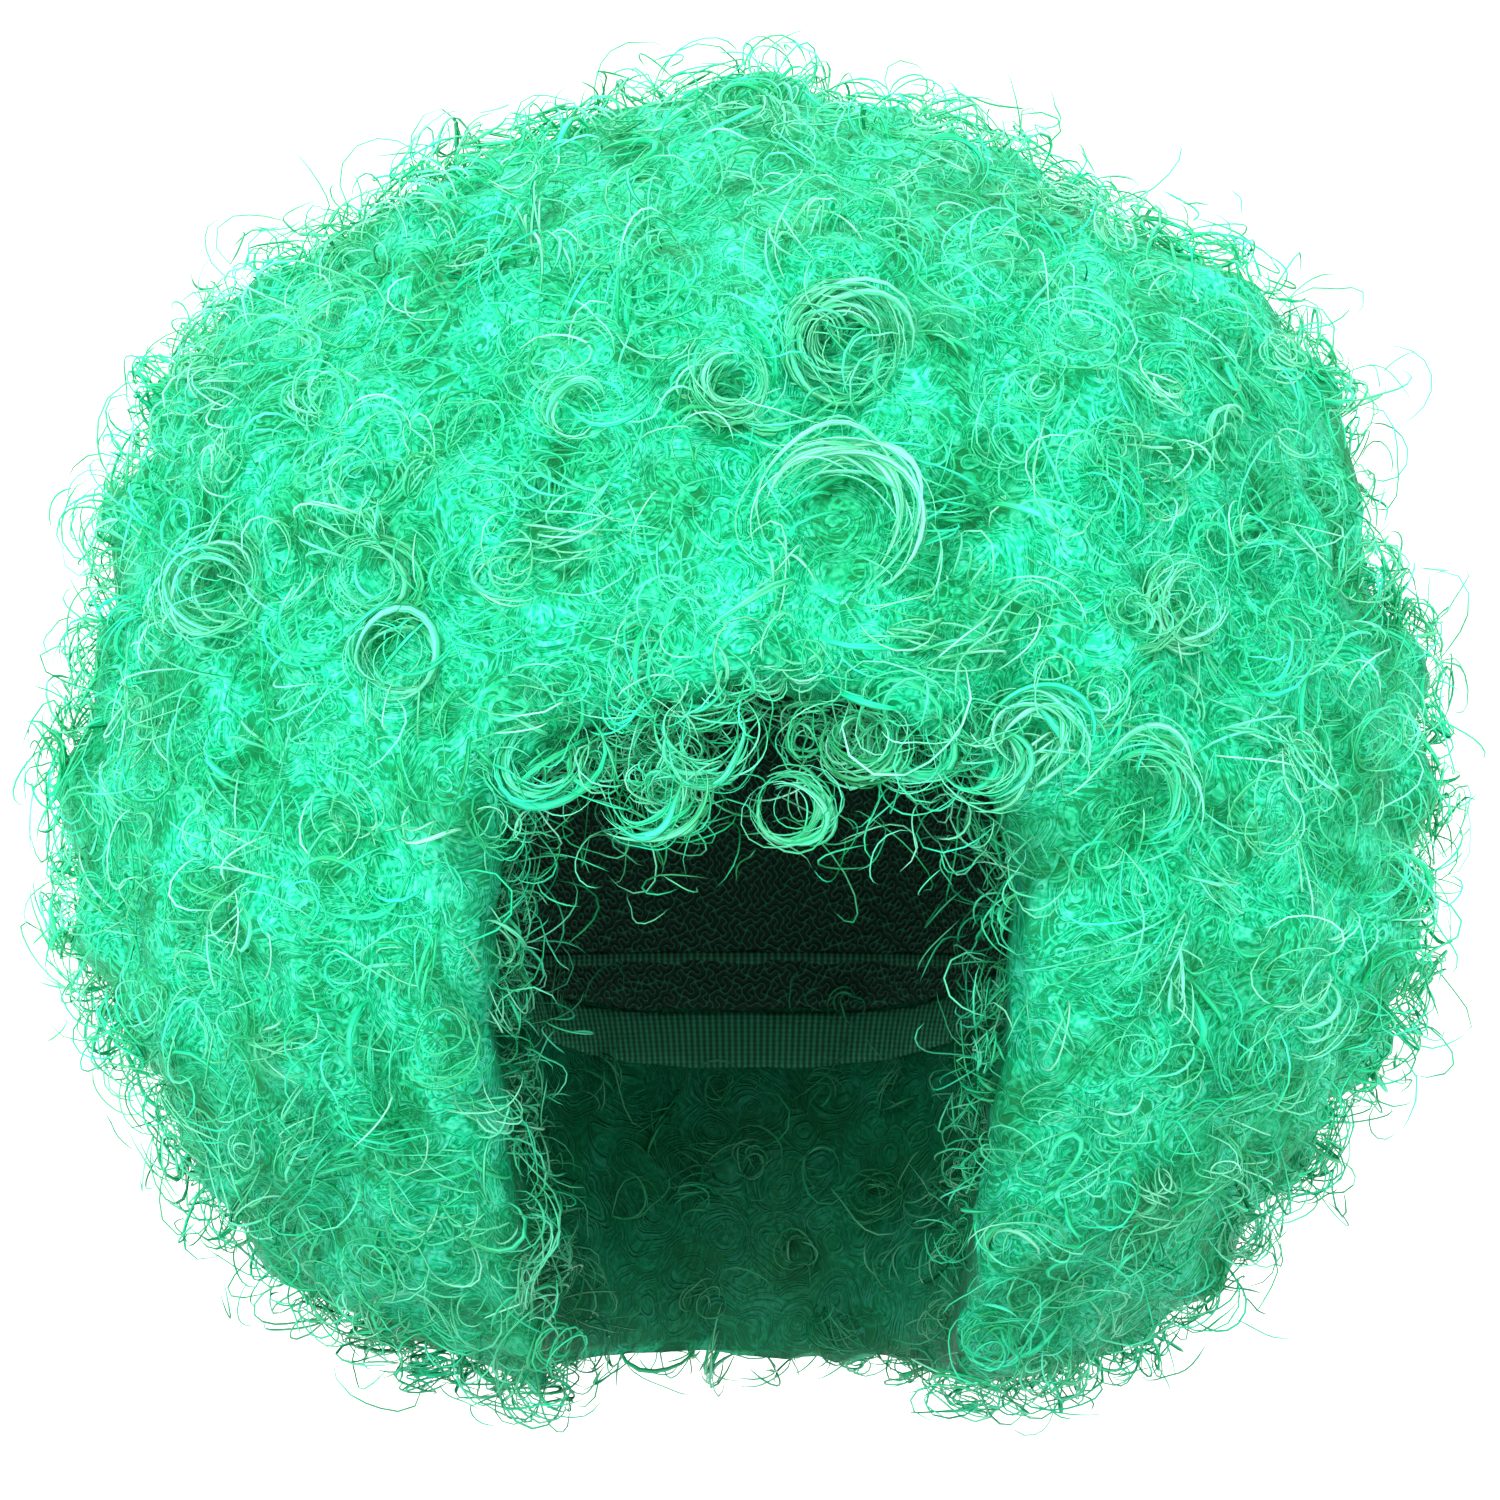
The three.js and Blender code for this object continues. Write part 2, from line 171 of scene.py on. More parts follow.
# Locks placed as the photo shows them: x, z and radius in millimetres, where the arc starts
# and its length in turns, the bundle's breadth, its ribbons and single fibres, how far it
# stands off the hair behind, and how pale it is.
PLACED_LOCKS = [
    ("hair_row_2", (19, -30, 15, 0.42, -0.62, 7, 9, 10, 6, 0.75)),
    ("hair_row_2", (-37, -7, 6.5, 0.1, 1.1, 1.5, 2, 5, 6, 0.8)),
    ("hair_row_1", (21, 9, 10, 0.0, 1.2, 9, 9, 14, 4, 0.6)),
    ("hair_row_2", (-4, 0, 8, 0.3, 1.1, 6, 6, 12, 4, 0.6)),
    ("hair_row_3", (94, -49, 8.5, 0.2, 1.0, 3, 5, 7, 6, 0.9)),
    ("hair_row_3", (-119, -44, 9, 0.0, 1.2, 6, 6, 10, 4, 0.6)),
    ("hair_row_3", (-81, -42, 8, 0.5, 1.1, 5, 5, 9, 4, 0.5)),
    ("hair_row_3", (-78, -59, 9, 0.6, -1.1, 5, 6, 9, 4, 0.5)),
    ("hair_row_3", (62, -78, 10, 0.95, 0.62, 8, 9, 9, 6, 0.5)),
    ("hair_row_4", (84, -88, 11, 0.9, 0.6, 8, 9, 9, 6, 0.5)),
    ("hair_crown", (-1, 66, 6.5, 0.9, 0.75, 2, 3, 6, 4, 0.4)),
    ("hair_row_1", (44, 49, 8.5, 0.95, 0.6, 2, 2, 5, 5, 0.3)),
]
FRINGE_PLACED = [
    (8.5, -95, 8, 0.3, -1.05, 2.4, 5, 8, 4, 0.45),
    (-20, -88, 11, 0.05, -0.45, 6, 6, 8, 4, 0.4),
    (-31, -92, 9, 0.1, -0.6, 4, 4, 6, 4, 0.3),
    (-44, -82, 9, 0.3, 0.9, 5, 6, 8, 4, 0.3),
    (-9, -76, 9, 0.5, 0.6, 5, 5, 8, 5, 0.4),
    (22, -80, 8, 0.2, -0.9, 3, 3, 7, 4, 0.3),
    (38, -76, 9, 0.4, 0.8, 4, 4, 8, 5, 0.4),
    (50, -84, 8, 0.2, -0.9, 4, 4, 8, 4, 0.4),
]

# Areas of the fringe: x and z ranges in millimetres and the locks in them. Its ends, 60 mm from
# the middle, droop lower than its middle.
FRINGE_AREAS = [((-57, -8), (-58, -98), 30), ((-8, 57), (-56, -80), 17)]
# Single fibres that hang loose over the forehead, and where their middles lie
FRINGE_LOOSE = 90
LOOSE_AREA = ((-40, 58), (-112, -98), (-106, -80))
FRINGE_DROOP = 12

# How far apart the locks stand on the open hair and on the walls round the face and neck
OPEN_SPACING = 11.5 * MM
WALL_SPACING = 18.0 * MM
# The share of locks wound on an axis that lies along the hair; the others stand on theirs
FLAT_SHARE = 0.4

# Lights: name, place, what it aims at, its width and its power in watts
WIG_MIDDLE = (0, 0, -0.08)
LIGHTS = [
    ("key", (-0.85, -1.9, 0.75), WIG_MIDDLE, 1.2, 43),
    ("fill", (1.1, -1.9, 0.1), WIG_MIDDLE, 1.6, 14),
    ("top", (0.1, 0.1, 1.6), WIG_MIDDLE, 1.2, 9),
    ("backdrop", (0, 1.2, 2.2), (0, 3.2, 0.2), 2.0, 70),
]
WORLD_BRIGHTNESS = 1.09

rng = np.random.default_rng(41)


# Small helpers

def linear(colour):
    """An sRGB hex colour as linear RGBA."""
    channels = [int(colour[i:i + 2], 16) / 255 for i in (1, 3, 5)]
    return [c / 12.92 if c <= 0.04045 else ((c + 0.055) / 1.055) ** 2.4 for c in channels] + [1]


def add_node(tree, kind, links=None, **settings):
    """Adds one node. settings name its properties and links its sockets' sources or values."""
    node = tree.nodes.new(kind)
    for name, value in settings.items():
        setattr(node, name, value)
    for socket, source in (links or {}).items():
        if isinstance(source, bpy.types.NodeSocket):
            tree.links.new(source, node.inputs[socket])
        else:
            node.inputs[socket].default_value = source
    return node


def set_ramp(node, *stops):
    """Gives a colour ramp its stops, each a place and a hex colour."""
    elements = node.color_ramp.elements
    while len(elements) < len(stops):
        elements.new(1)
    for element, (place, colour) in zip(elements, stops):
        element.position = place
        element.color = linear(colour)


def new_material(name):
    material = bpy.data.materials.new(name)
    material.use_nodes = True
    material.node_tree.nodes.clear()
    return material, material.node_tree


def deselect_all():
    for ob in bpy.context.selected_objects:
        ob.select_set(False)


def make_active(ob):
    deselect_all()
    ob.select_set(True)
    bpy.context.view_layer.objects.active = ob


def apply_all_modifiers(ob):
    make_active(ob)
    for modifier in list(ob.modifiers):
        bpy.ops.object.modifier_apply(modifier=modifier.name)


def unit(vectors):
    return vectors / np.maximum(np.linalg.norm(vectors, axis=-1, keepdims=True), 1e-12)


def between(low, high, count):
    return rng.uniform(low, high, count)


def add_painted_hollow_shade(tree, colour, hollow_shade_tint):
    """Paints shade into the colour: deepens it in patches, about 20 mm apart, as painted shade where
    the locks part.
    """
    place = add_node(tree, "ShaderNodeTexCoord")
    broad = add_node(
        tree, "ShaderNodeTexNoise",
        {"Vector": place.outputs["Object"], "Scale": 48.0, "Detail": 1.0},
    )
    share = add_node(
        tree, "ShaderNodeMapRange",
        {"Value": broad.outputs["Fac"], 1: 0.48, 2: 0.62, 3: 0.0, 4: 0.8},
    )
    mixed = add_node(
        tree, "ShaderNodeMix", {0: share.outputs[0], 6: colour, 7: linear(hollow_shade_tint)},
        data_type="RGBA", blend_type="MULTIPLY",
    )
    return mixed.outputs[2]


# Heat-curled polyester fibre. Drawn fibre is smooth and round, so each bundle carries long
# pale highlights, and dyed right through, so it is a clear green. Painted shade deepens that
# green deep in the hair, in patches where the locks part, and on the walls round the face and
# neck, low down and along the face opening.
def fibre_material():
    material, tree = new_material("heat_curled_polyester_fibre")
    along = add_node(tree, "ShaderNodeUVMap", uv_map="Fibre")
    # Streaks 25 mm long and a drawn fibre wide
    streaks_at = add_node(
        tree, "ShaderNodeMapping",
        {"Vector": along.outputs[0], "Scale": (40, FIBRES_TO_METRE, 1)},
    )
    streaks = add_node(
        tree, "ShaderNodeTexNoise",
        {"Vector": streaks_at.outputs[0], "Scale": 1.0, "Detail": 1.0, "Roughness": 0.6},
        noise_dimensions="2D",
    )
    shade = add_node(tree, "ShaderNodeAttribute", attribute_name="Shade")
    parts = add_node(tree, "ShaderNodeSeparateColor", {"Color": shade.outputs["Color"]})
    # Painted shade: a deeper green where a point lies deep in the hair, paler where it stands out
    body = add_node(tree, "ShaderNodeValToRGB", {"Fac": parts.outputs["Red"]})
    set_ramp(body, (0.0, "#00ac66"), (0.4, "#18ecb2"), (1.0, "#30f4ca"))
    pale = add_node(
        tree, "ShaderNodeMix",
        {
            0: parts.outputs["Green"],
            6: add_painted_hollow_shade(tree, body.outputs["Color"], "#a8d2ba"),
            7: linear("#a2fbdc"),
        },
        data_type="RGBA",
    )
    streak_shade = add_node(tree, "ShaderNodeValToRGB", {"Fac": streaks.outputs["Fac"]})
    set_ramp(streak_shade, (0.38, "#50c89a"), (0.5, "#d0f8e8"), (0.6, "#ffffff"))
    streaked = add_node(
        tree, "ShaderNodeMix",
        {0: 1.0, 6: pale.outputs[2], 7: streak_shade.outputs["Color"]},
        data_type="RGBA", blend_type="MULTIPLY",
    )
    # Painted shade: toward a dark green by how shaded the place is, on the walls round the face and
    # neck, low down and along the face opening
    dimmed = add_node(
        tree, "ShaderNodeMix",
        {0: parts.outputs["Blue"], 6: streaked.outputs[2], 7: linear("#04663a")},
        data_type="RGBA",
    )
    bump = add_node(
        tree, "ShaderNodeBump",
        {"Height": streaks.outputs["Fac"], "Strength": 0.8, "Distance": 0.3 * MM},
    )
    surface = add_node(
        tree, "ShaderNodeBsdfPrincipled",
        {
            "Base Color": dimmed.outputs[2],
            "Normal": bump.outputs["Normal"],
            "Roughness": 0.38,
            "IOR": POLYESTER_IOR,
            "Specular IOR Level": 0.26,
        },
    )
    add_node(tree, "ShaderNodeOutputMaterial", {"Surface": surface.outputs[0]})
    return material


# The same fibre where it lies packed behind the loose curls. Only its frizz shows: fine pale
# strands, wound in whorls of 8 to 24 mm, over a deeper green painted as the shade between them.
# Painted shade deepens it further in patches and round the face and neck.
def packed_material():
    material, tree = new_material("heat_curled_polyester_fibre_packed")
    place = add_node(tree, "ShaderNodeTexCoord")
    sway = add_node(
        tree, "ShaderNodeTexNoise",
        {"Vector": place.outputs["Object"], "Scale": 70.0, "Detail": 1.0},
    )
    swayed = add_node(
        tree, "ShaderNodeVectorMath",
        {0: sway.outputs["Color"], 1: (0.009, 0.009, 0.009), 2: place.outputs["Object"]},
        operation="MULTIPLY_ADD",
    )
    slow = add_node(
        tree, "ShaderNodeVectorMath",
        {0: place.outputs["Object"], 1: (95, 95, 95)}, operation="MULTIPLY",
    )
    turned = add_node(tree, "ShaderNodeSeparateXYZ", {"Vector": slow.outputs["Vector"]})
    layers = []
    for cells, strength in WHORLS:
        whorl = add_node(
            tree, "ShaderNodeTexVoronoi",
            {"Vector": swayed.outputs["Vector"], "Scale": cells},
        )
        # Distance from the whorl's middle, counted in fibres
        reach = add_node(
            tree, "ShaderNodeMath",
            {0: whorl.outputs["Distance"], 1: FIBRES_TO_METRE / cells}, operation="MULTIPLY",
        )
        around = add_node(
            tree, "ShaderNodeCombineXYZ",
            {"X": reach.outputs[0], "Y": turned.outputs["X"], "Z": turned.outputs["Z"]},
        )
        lines = add_node(
            tree, "ShaderNodeTexNoise",
            {"Vector": around.outputs[0], "Scale": 1.0, "Detail": 0.0},
        )
        crisp = add_node(
            tree, "ShaderNodeMapRange",
            {"Value": lines.outputs["Fac"], 1: 0.48, 2: 0.70, 3: 0.0, 4: strength},
        )
        layers.append(crisp.outputs[0])
    frizz = layers[0]
    for layer in layers[1:]:
        most = add_node(tree, "ShaderNodeMath", {0: frizz, 1: layer}, operation="MAXIMUM")
        frizz = most.outputs[0]
    # Short breaks, so that no strand lies bare for long
    breaks = add_node(
        tree, "ShaderNodeTexNoise",
        {"Vector": place.outputs["Object"], "Scale": 800.0, "Detail": 1.0},
    )
    broken = add_node(
        tree, "ShaderNodeMapRange",
        {"Value": breaks.outputs["Fac"], 1: 0.4, 2: 0.6, 3: 0.35, 4: 1.0},
    )
    fine = add_node(tree, "ShaderNodeMath", {0: frizz, 1: broken.outputs[0]}, operation="MULTIPLY")
    # Painted shade: the green deepens between the frizz strands
    colour = add_node(tree, "ShaderNodeValToRGB", {"Fac": fine.outputs[0]})
    set_ramp(colour, (0.0, "#009258"), (0.35, "#14daa0"), (1.0, "#5cf2ce"))
    shade = add_node(tree, "ShaderNodeAttribute", attribute_name="Shade")
    parts = add_node(tree, "ShaderNodeSeparateColor", {"Color": shade.outputs["Color"]})
    # Painted shade: toward a dark green by how shaded the place is, on the walls round the face and
    # neck, low down and along the face opening
    dimmed = add_node(
        tree, "ShaderNodeMix",
        {
            0: parts.outputs["Blue"],
            6: add_painted_hollow_shade(tree, colour.outputs["Color"], "#98c8ac"),
            7: linear("#034a2c"),
        },
        data_type="RGBA",
    )
    bump = add_node(
        tree, "ShaderNodeBump",
        {"Height": layers[1], "Strength": 0.9, "Distance": 0.6 * MM},
    )
    surface = add_node(
        tree, "ShaderNodeBsdfPrincipled",
        {
            "Base Color": dimmed.outputs[2],
            "Normal": bump.outputs["Normal"],
            "Roughness": 0.6,
            "IOR": POLYESTER_IOR,
            "Specular IOR Level": 0.12,
        },
    )
    add_node(tree, "ShaderNodeOutputMaterial", {"Surface": surface.outputs[0]})
    return material


# Knitted stretch net, dark green and matt: round loops of about 3 mm, darker where they open
def net_material():
    material, tree = new_material("knitted_stretch_net")
    place = add_node(tree, "ShaderNodeTexCoord")
    scaled = add_node(
        tree, "ShaderNodeVectorMath",
        {0: place.outputs["Object"], 1: (2 * math.pi / NET_LOOP,) * 3}, operation="MULTIPLY",
    )
    sines = add_node(tree, "ShaderNodeVectorMath", {0: scaled.outputs[0]}, operation="SINE")
    cosines = add_node(tree, "ShaderNodeVectorMath", {0: scaled.outputs[0]}, operation="COSINE")
    apart = add_node(tree, "ShaderNodeSeparateXYZ", {"Vector": cosines.outputs[0]})
    rolled = add_node(
        tree, "ShaderNodeCombineXYZ",
        {"X": apart.outputs["Y"], "Y": apart.outputs["Z"], "Z": apart.outputs["X"]},
    )
    lattice = add_node(
        tree, "ShaderNodeVectorMath",
        {0: sines.outputs[0], 1: rolled.outputs[0]}, operation="DOT_PRODUCT",
    )
    thread = add_node(tree, "ShaderNodeMath", {0: lattice.outputs["Value"]}, operation="ABSOLUTE")
    fuzz = add_node(
        tree, "ShaderNodeTexNoise",
        {"Vector": place.outputs["Object"], "Scale": 2500.0, "Detail": 2.0},
    )
    frayed = add_node(
        tree, "ShaderNodeMath",
        {0: fuzz.outputs["Fac"], 1: 0.5, 2: thread.outputs[0]}, operation="MULTIPLY_ADD",
    )
    colour = add_node(tree, "ShaderNodeValToRGB", {"Fac": frayed.outputs[0]})
    set_ramp(colour, (0.25, "#1f7d5a"), (0.6, "#125a40"), (0.85, "#062a1d"))
    bump = add_node(
        tree, "ShaderNodeBump",
        {"Height": frayed.outputs[0], "Strength": 0.8, "Distance": 0.5 * MM}, invert=True,
    )
    surface = add_node(
        tree, "ShaderNodeBsdfPrincipled",
        {
            "Base Color": colour.outputs["Color"],
            "Normal": bump.outputs["Normal"],
            "Roughness": 0.85,
            "IOR": 1.45,
        },
    )
    add_node(tree, "ShaderNodeOutputMaterial", {"Surface": surface.outputs[0]})
    return material


# Woven tape, dark green and matt, with upright ribs 1.6 mm apart round it: the elastic edge,
# and the tracks that carry the hair
def woven_material(name, shaded_hollow, body, lit_ridge):
    material, tree = new_material(name)
    place = add_node(tree, "ShaderNodeTexCoord")
    apart = add_node(tree, "ShaderNodeSeparateXYZ", {"Vector": place.outputs["Object"]})
    angle = add_node(
        tree, "ShaderNodeMath",
        {0: apart.outputs["X"], 1: apart.outputs["Y"]}, operation="ARCTAN2",
    )
    ribs_at = add_node(
        tree, "ShaderNodeMath", {0: angle.outputs[0], 1: RIBS_ROUND}, operation="MULTIPLY",
    )
    ribs = add_node(tree, "ShaderNodeMath", {0: ribs_at.outputs[0]}, operation="SINE")
    weft_at = add_node(
        tree, "ShaderNodeMath",
        {0: apart.outputs["Z"], 1: 2 * math.pi / WEFT_SPACING}, operation="MULTIPLY",
    )
    weft = add_node(tree, "ShaderNodeMath", {0: weft_at.outputs[0]}, operation="SINE")
    weave = add_node(
        tree, "ShaderNodeMath",
        {0: weft.outputs[0], 1: 0.35, 2: ribs.outputs[0]}, operation="MULTIPLY_ADD",
    )
    level = add_node(tree, "ShaderNodeMapRange", {"Value": weave.outputs[0], 1: -1.3, 2: 1.3})
    colour = add_node(tree, "ShaderNodeValToRGB", {"Fac": level.outputs[0]})
    # Painted shade in the hollows of the weave and a painted highlight on its ridges, following the
    # bump's height
    set_ramp(colour, (0.15, shaded_hollow), (0.55, body), (0.9, lit_ridge))
    bump = add_node(
        tree, "ShaderNodeBump",
        {"Height": level.outputs[0], "Strength": 0.7, "Distance": 0.5 * MM},
    )
    surface = add_node(
        tree, "ShaderNodeBsdfPrincipled",
        {
            "Base Color": colour.outputs["Color"],
            "Normal": bump.outputs["Normal"],
            "Roughness": 0.8,
            "IOR": 1.45,
        },
    )
    add_node(tree, "ShaderNodeOutputMaterial", {"Surface": surface.outputs[0]})
    return material


def plain_material(name, colour, roughness):
    material, tree = new_material(name)
    surface = add_node(
        tree, "ShaderNodeBsdfPrincipled", {"Base Color": linear(colour), "Roughness": roughness},
    )
    add_node(tree, "ShaderNodeOutputMaterial", {"Surface": surface.outputs[0]})
    return material


# Stage, lights and camera

def make_stage():
    bpy.ops.mesh.primitive_plane_add(size=8, location=(0, 0, FLOOR_LEVEL))
    floor = bpy.context.object
    floor.name = "studio_floor"
    bpy.ops.object.mode_set(mode="EDIT")
    bpy.ops.mesh.select_all(action="DESELECT")
    bpy.ops.object.mode_set(mode="OBJECT")
    for edge in floor.data.edges:
        edge.select = all(floor.data.vertices[i].co.y > 0 for i in edge.vertices)
    bpy.ops.object.mode_set(mode="EDIT")
    bpy.ops.mesh.select_mode(type="EDGE")
    bpy.ops.mesh.extrude_edges_move(TRANSFORM_OT_translate={"value": (0, 0, 5)})
    bpy.ops.mesh.select_all(action="DESELECT")
    bpy.ops.object.mode_set(mode="OBJECT")
    for edge in floor.data.edges:
        ends = [floor.data.vertices[i].co for i in edge.vertices]
        edge.select = all(end.y > 3.9 and end.z < 0.1 for end in ends)
    bpy.ops.object.mode_set(mode="EDIT")
    bpy.ops.mesh.bevel(offset=2.0, segments=24)
    bpy.ops.object.mode_set(mode="OBJECT")
    bpy.ops.object.shade_smooth()
    floor.data.materials.append(plain_material("matt_white_paper", "#f4f5f4", 0.9))


def add_light(name, place, aim, size, power):
    data = bpy.data.lights.new(name, "AREA")
    data.shape = "DISK"
    data.size = size
    data.energy = power
    light = bpy.data.objects.new(name, data)
    light.location = place
    light.rotation_euler = (Vector(aim) - Vector(place)).to_track_quat("-Z", "Y").to_euler()
    bpy.context.scene.collection.objects.link(light)


def make_lights():
    for light in LIGHTS:
        add_light(*light)
    world = bpy.data.worlds.new("pale_studio")
    world.use_nodes = True
    background = world.node_tree.nodes["Background"]
    background.inputs["Color"].default_value = linear("#eef2f1")
    background.inputs["Strength"].default_value = WORLD_BRIGHTNESS
    bpy.context.scene.world = world


def make_camera():
    data = bpy.data.cameras.new("camera")
    data.sensor_width = SENSOR
    data.lens = SENSOR * CAMERA_BACK / FRAMED_WIDTH
    camera = bpy.data.objects.new("camera", data)
    camera.location = (0, -CAMERA_BACK, CAMERA_LEVEL)
    camera.rotation_euler = (math.pi / 2, 0, 0)
    bpy.context.scene.collection.objects.link(camera)
    bpy.context.scene.camera = camera
    bpy.context.scene.view_settings.view_transform = "Standard"


# Pieces that start from the CAD nodes

def cad_copy(name, nodes):
    """One joined copy of CAD nodes with its corners merged, as the start of a new piece."""
    deselect_all()
    for node in nodes:
        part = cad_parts[node].copy()
        part.data = part.data.copy()
        for key in list(part.keys()):
            del part[key]
        part.parent = None
        bpy.context.scene.collection.objects.link(part)
        part.select_set(True)
        bpy.context.view_layer.objects.active = part
    if len(nodes) > 1:
        bpy.ops.object.join()
    piece = bpy.context.view_layer.objects.active
    piece.name = piece.data.name = name
    bpy.ops.object.mode_set(mode="EDIT")
    bpy.ops.mesh.select_all(action="SELECT")
    bpy.ops.mesh.remove_doubles(threshold=0.01 * MM)
    bpy.ops.object.mode_set(mode="OBJECT")
    return piece


def dress(piece, nodes, material):
    piece.data.materials.clear()
    piece.data.materials.append(material)
    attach(piece, "root")
    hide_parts(*nodes)


def packed_hair(material):
    """The mass of all rows behind the loose curls, its locks rounded into soft clumps."""
    piece = cad_copy("hair_packed_core", HAIR_ROWS)
    remesh = piece.modifiers.new("remesh", "REMESH")
    remesh.mode = "VOXEL"
    remesh.voxel_size = PACKED_GRAIN
    smooth = piece.modifiers.new("smooth", "SMOOTH")
    smooth.factor = 0.5
    smooth.iterations = 5
    apply_all_modifiers(piece)
    points, _, normals = triangles_of(piece)
    outside = piece.vertex_groups.new(name="outside")
    outside.add(np.flatnonzero(~faces_head(points, normals)).tolist(), 1.0, "REPLACE")
    clumps = bpy.data.textures.new("clumps", "VORONOI")
    clumps.noise_scale = CLUMP_WIDE
    swell = piece.modifiers.new("swell", "DISPLACE")
    swell.texture = clumps
    swell.texture_coords = "LOCAL"
    swell.strength = -CLUMP_DEEP
    swell.mid_level = 0.5
    swell.vertex_group = "outside"
    drift = bpy.data.textures.new("drift", "CLOUDS")
    drift.noise_scale = DRIFT_WIDE
    lean = piece.modifiers.new("lean", "DISPLACE")
    lean.texture = drift
    lean.texture_coords = "LOCAL"
    lean.strength = DRIFT_DEEP
    lean.mid_level = 0.5
    lean.vertex_group = "outside"
    apply_all_modifiers(piece)
    bpy.ops.object.shade_smooth()
    dress(piece, HAIR_ROWS, material)
    return piece


def smooth_copy(name, node, material):
    """A CAD node with its facets rounded off."""
    piece = cad_copy(name, [node])
    bpy.ops.object.mode_set(mode="EDIT")
    bpy.ops.mesh.tris_convert_to_quads()
    bpy.ops.object.mode_set(mode="OBJECT")
    round_off = piece.modifiers.new("round_off", "SUBSURF")
    round_off.levels = round_off.render_levels = 1
    apply_all_modifiers(piece)
    bpy.ops.object.shade_smooth()
    dress(piece, [node], material)
    return piece


def smooth_step(values, low, high):
    t = np.clip((values - low) / (high - low), 0, 1)
    return t * t * (3 - 2 * t)


def faces_head(places, normals):
    """True on the walls that face the head and neck."""
    reach = np.linalg.norm(places[:, :2], axis=1)
    outward = np.sum(normals[:, :2] * places[:, :2], axis=1) / np.maximum(reach, MM)
    return (reach < LINING_REACH) & (outward < -0.2)


def shaded(places, is_outside):
    """How shaded hair is: on the walls round the face and neck by how deep it lies, and outside
    low down and along the edges of the face opening."""
    inside = 0.35 + 0.5 * smooth_step(places[:, 1], -0.125, -0.04)
    half_open = np.interp(-places[:, 2], (0.080, 0.232), FACE_HALF)
    from_edge = smooth_step(np.abs(places[:, 0]) - half_open, 0.0, 0.020)
    along_edge = smooth_step(-places[:, 2], 0.075, 0.105) * (places[:, 1] < FACE_EDGE)
    outside = np.maximum(
        0.4 * smooth_step(-places[:, 2], 0.10, 0.22), 0.55 * (1 - from_edge) * along_edge,
    )
    return np.where(is_outside, outside, inside)


def shade_packed(piece, tree):
    """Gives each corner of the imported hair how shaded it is."""
    points, _, normals = triangles_of(piece)
    open_sky = np.array([
        tree.ray_cast(Vector(point + normal * MM), Vector(normal), 0.4)[0] is None
        for point, normal in zip(points, normals)
    ])
    dim = shaded(points, open_sky & ~faces_head(points, normals))
    attribute = piece.data.attributes.new("Shade", "FLOAT_COLOR", "POINT")
    rgba = np.zeros((len(points), 4), np.float32)
    rgba[:, 2] = dim
    rgba[:, 3] = 1
    attribute.data.foreach_set("color", rgba.ravel())


def triangles_of(ob):
    mesh = ob.data
    mesh.calc_loop_triangles()
    points = np.empty(len(mesh.vertices) * 3, np.float32)
    mesh.vertices.foreach_get("co", points)
    corners = np.empty(len(mesh.loop_triangles) * 3, np.int32)
    mesh.loop_triangles.foreach_get("vertices", corners)
    normals = np.empty(len(mesh.vertices) * 3, np.float32)
    mesh.vertices.foreach_get("normal", normals)
    points, normals = (values.reshape(-1, 3).astype(float) for values in (points, normals))
    return points, corners.reshape(-1, 3), normals


def tree_of(shapes):
    """One search tree of the triangles of several shapes."""
    offset = np.cumsum([0] + [len(points) for points, _, _ in shapes])
    return BVHTree.FromPolygons(
        np.concatenate([points for points, _, _ in shapes]).tolist(),
        np.concatenate([corners + offset[i] for i, (_, corners, _) in enumerate(shapes)]).tolist(),
    )


def root_places(core, tree):
    """Places spread evenly over the hair that shows, each with its normal and its row. open_sky
    is true on the outside, and false on the walls that face the head or each other."""
    points, corners, point_normals = core
    a, b, c = (points[corners[:, i]] for i in range(3))
    area = np.linalg.norm(np.cross(b - a, c - a), axis=1) / 2
    count = int(area.sum() / OPEN_SPACING**2 * CROWDING)
    chosen = rng.choice(len(area), count, p=area / area.sum())
    mix = rng.dirichlet((1, 1, 1), count)
    places = np.einsum("ij,ijk->ik", mix, points[corners[chosen]])
    normals = unit(np.einsum("ij,ijk->ik", mix, point_normals[corners[chosen]]))
    lining = faces_head(places, normals)
    kept, open_sky = [], []
    taken = np.full((count, 3), 9.0)
    for i in range(count):
        nearest = np.min(np.sum((taken[:len(kept) + 1] - places[i]) ** 2, axis=1))
        if nearest < OPEN_SPACING**2:
            continue
        hit = tree.ray_cast(Vector(places[i] + normals[i] * MM), Vector(normals[i]), 0.4)
        is_open = hit[0] is None and not lining[i]
        spacing = OPEN_SPACING if places[i, 1] < FACE_EDGE else WALL_SPACING
        if not is_open and (nearest < spacing**2 or hit[0] is not None and hit[3] < SHUT_IN):
            continue
        taken[len(kept)] = places[i]
        kept.append(i)
        open_sky.append(is_open)
    tops = [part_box(node)[1].z for node in HAIR_ROWS[1:]]
    rows = np.sum(places[kept, 2:3] < np.array(tops)[None, :], axis=1)
    return places[kept], normals[kept], rows, np.array(open_sky)


# Strands

def frames_round(axis):
    """Two directions square to each axis."""
    helper = np.where(np.abs(axis[:, 2:]) < 0.8, [[0.0, 0.0, 1.0]], [[1.0, 0.0, 0.0]])
    u = unit(np.cross(axis, helper))
    return u, np.cross(axis, u)


